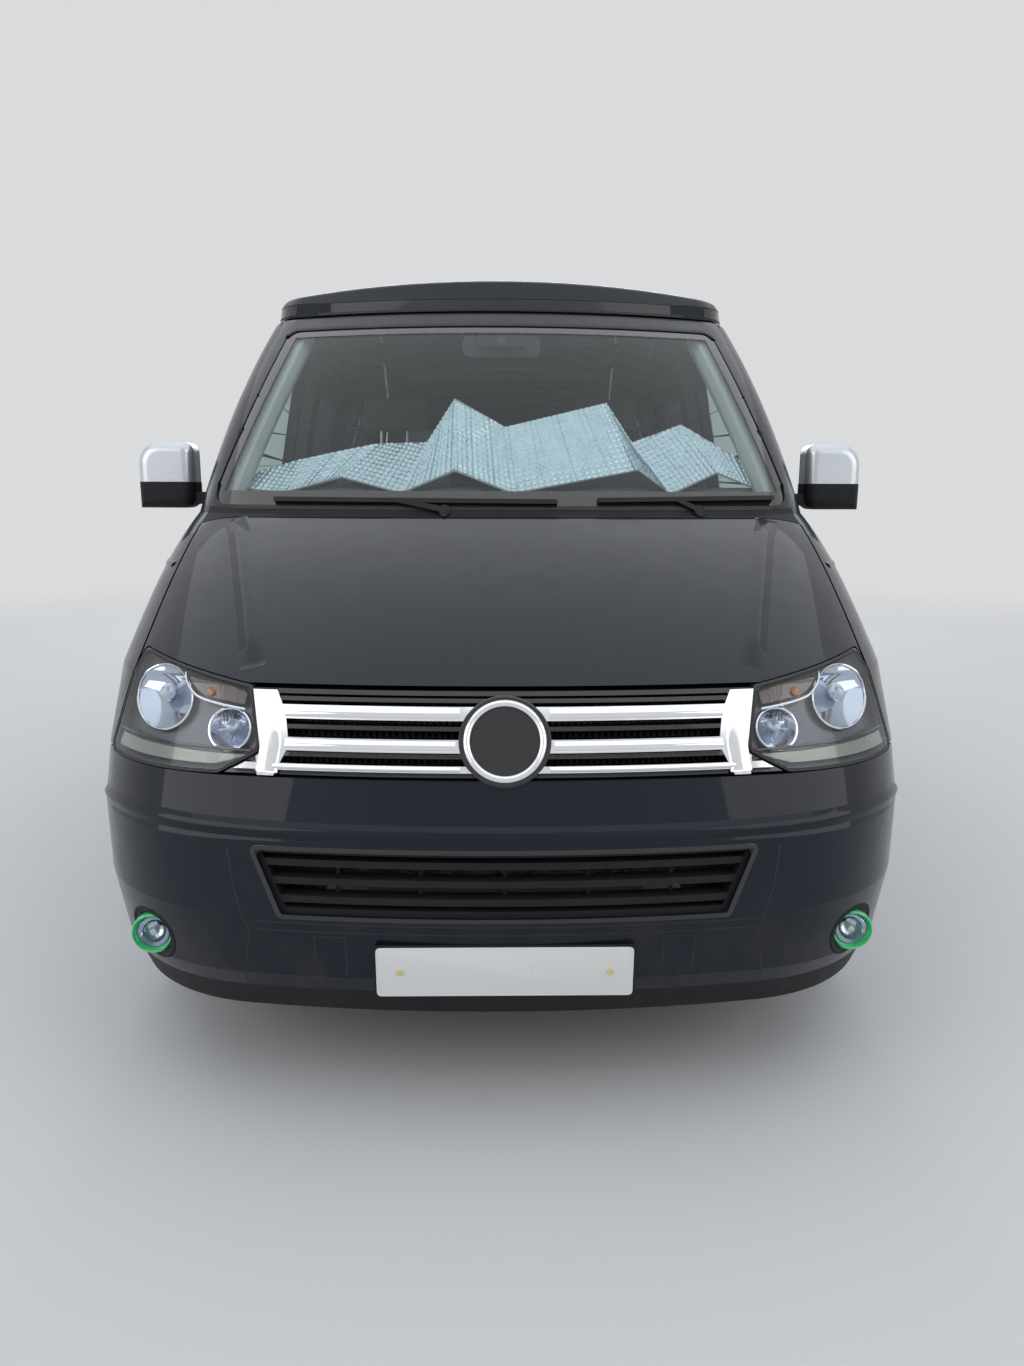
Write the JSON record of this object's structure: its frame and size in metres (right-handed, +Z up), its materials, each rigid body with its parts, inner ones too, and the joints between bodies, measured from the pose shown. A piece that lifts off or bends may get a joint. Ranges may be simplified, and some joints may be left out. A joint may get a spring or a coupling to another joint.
{
  "type": "camper van",
  "caption": "Panelled camper van with opening doors, bonnet, tailgate and raising roof, steered front wheels and a fitted cabin.",
  "frame": {"origin": "on the ground, at the middle of the overall length and width", "axes": "+X to the vehicle's left, +Y from nose to tail, +Z up"},
  "size_m": [2.3, 4.892, 1.9979],
  "materials": {
    "paint": "gloss clearcoat",
    "underbody": "matt",
    "glass": "clear tint",
    "satin_silver": "satin",
    "steel": "matt",
    "tyre": "matt",
    "alloy": "satin",
    "privacy_glass": "dark tint",
    "lens": "clear",
    "lamp_tray": "satin",
    "lamp_red": "gloss",
    "black_plastic": "fine grain",
    "seat_fabric": "woven",
    "gloss_black": "gloss",
    "chrome": "polished",
    "roof_fabric": "woven",
    "trim_grey": "fine grain",
    "wood": "satin",
    "foil": "metallised quilted film"
  },
  "bodies": {
    "body": {"side_panel_left": "paint", "body_frame_left": "underbody", "front_wing_left": "paint", "side_panel_right": "paint", "body_frame_right": "underbody", "front_wing_right": "paint", "side_windows": "privacy_glass", "headlamp_lenses": "lens", "headlamp_housings": "lamp_tray", "tail_lamps": "lamp_red", "arch_liners": "black_plastic", "front_seats": "seat_fabric", "sliding_door": "paint", "roof_panel": "paint", "windscreen": "glass", "front_bumper": "paint", "front_lip": "black_plastic", "lower_grille": "black_plastic", "upper_grille": "gloss_black", "grille_chrome": "chrome", "cowl": "black_plastic", "front_carrier": "underbody", "roof_bellows": "roof_fabric", "rear_bumper": "paint", "front_subframe": "steel", "rear_axle": "steel", "floor_pan": "underbody", "bulkhead": "underbody", "dashboard": "trim_grey", "engine": "steel", "radiator": "alloy", "rear_bench": "seat_fabric", "furniture": "wood", "fuel_tank": "black_plastic", "exhaust": "alloy", "fog_lamps": "black_plastic", "wipers": "black_plastic", "windscreen_blind": "foil", "rear_view_mirror": "trim_grey"},
    "front_door_left": {"front_door_left": "paint", "door_glass_left": "glass", "mirror_left": "satin_silver"},
    "knuckle_left": {"knuckle_left": "steel"},
    "wheel_front_left": {"tyre_front_left": "tyre", "rim_front_left": "alloy"},
    "wheel_rear_left": {"tyre_rear_left": "tyre", "rim_rear_left": "alloy"},
    "front_door_right": {"front_door_right": "paint", "door_glass_right": "glass", "mirror_right": "satin_silver"},
    "knuckle_right": {"knuckle_right": "steel"},
    "wheel_front_right": {"tyre_front_right": "tyre", "rim_front_right": "alloy"},
    "wheel_rear_right": {"tyre_rear_right": "tyre", "rim_rear_right": "alloy"},
    "bonnet": {"bonnet": "paint"},
    "tailgate": {"tailgate": "paint", "tailgate_glass": "privacy_glass"},
    "pop_top": {"pop_top": "paint"},
    "steering_wheel": {"steering_wheel": "trim_grey"}
  },
  "joints": [
    {"name": "front_door_hinge_left", "type": "hinge", "parent": "body", "child": "front_door_left", "pos_m": [0.926, -1.092, 0.82], "axis": [0, 0, -1], "range_deg": [0, 62]},
    {"name": "steer_left", "type": "hinge", "parent": "body", "child": "knuckle_left", "pos_m": [0.744, -1.552, 0.345], "axis": [0, 0, 1], "range_deg": [-35, 35]},
    {"name": "wheel_spin_front_left", "type": "hinge", "parent": "knuckle_left", "child": "wheel_front_left", "pos_m": [0.814, -1.552, 0.345], "axis": [1, 0, 0], "continuous": true},
    {"name": "wheel_spin_rear_left", "type": "hinge", "parent": "body", "child": "wheel_rear_left", "pos_m": [0.814, 1.448, 0.345], "axis": [1, 0, 0], "continuous": true},
    {"name": "front_door_hinge_right", "type": "hinge", "parent": "body", "child": "front_door_right", "pos_m": [-0.926, -1.092, 0.82], "axis": [0, 0, 1], "range_deg": [0, 62]},
    {"name": "steer_right", "type": "hinge", "parent": "body", "child": "knuckle_right", "pos_m": [-0.744, -1.552, 0.345], "axis": [0, 0, 1], "range_deg": [-35, 35]},
    {"name": "wheel_spin_front_right", "type": "hinge", "parent": "knuckle_right", "child": "wheel_front_right", "pos_m": [-0.814, -1.552, 0.345], "axis": [1, 0, 0], "continuous": true},
    {"name": "wheel_spin_rear_right", "type": "hinge", "parent": "body", "child": "wheel_rear_right", "pos_m": [-0.814, 1.448, 0.345], "axis": [1, 0, 0], "continuous": true},
    {"name": "bonnet_hinge", "type": "hinge", "parent": "body", "child": "bonnet", "pos_m": [0, -1.406, 1.215], "axis": [-1, 0, 0], "range_deg": [0, 50]},
    {"name": "tailgate_hinge", "type": "hinge", "parent": "body", "child": "tailgate", "pos_m": [0, 2.206, 1.8755], "axis": [1, 0, 0], "range_deg": [0, 85]},
    {"name": "pop_top_hinge", "type": "hinge", "parent": "body", "child": "pop_top", "pos_m": [0, 2.08, 1.902], "axis": [-1, 0, 0], "range_deg": [0, 20]},
    {"name": "steering_wheel_turn", "type": "hinge", "parent": "body", "child": "steering_wheel", "pos_m": [-0.43, -0.946, 1.17], "axis": [0, 0.788, 0.6157], "range_deg": [-530, 530]}
  ],
  "couplings": [
    {"joint": "steer_right", "follows": "steer_left", "ratio": 1},
    {"joint": "steering_wheel_turn", "follows": "steer_left", "ratio": 15}
  ]
}
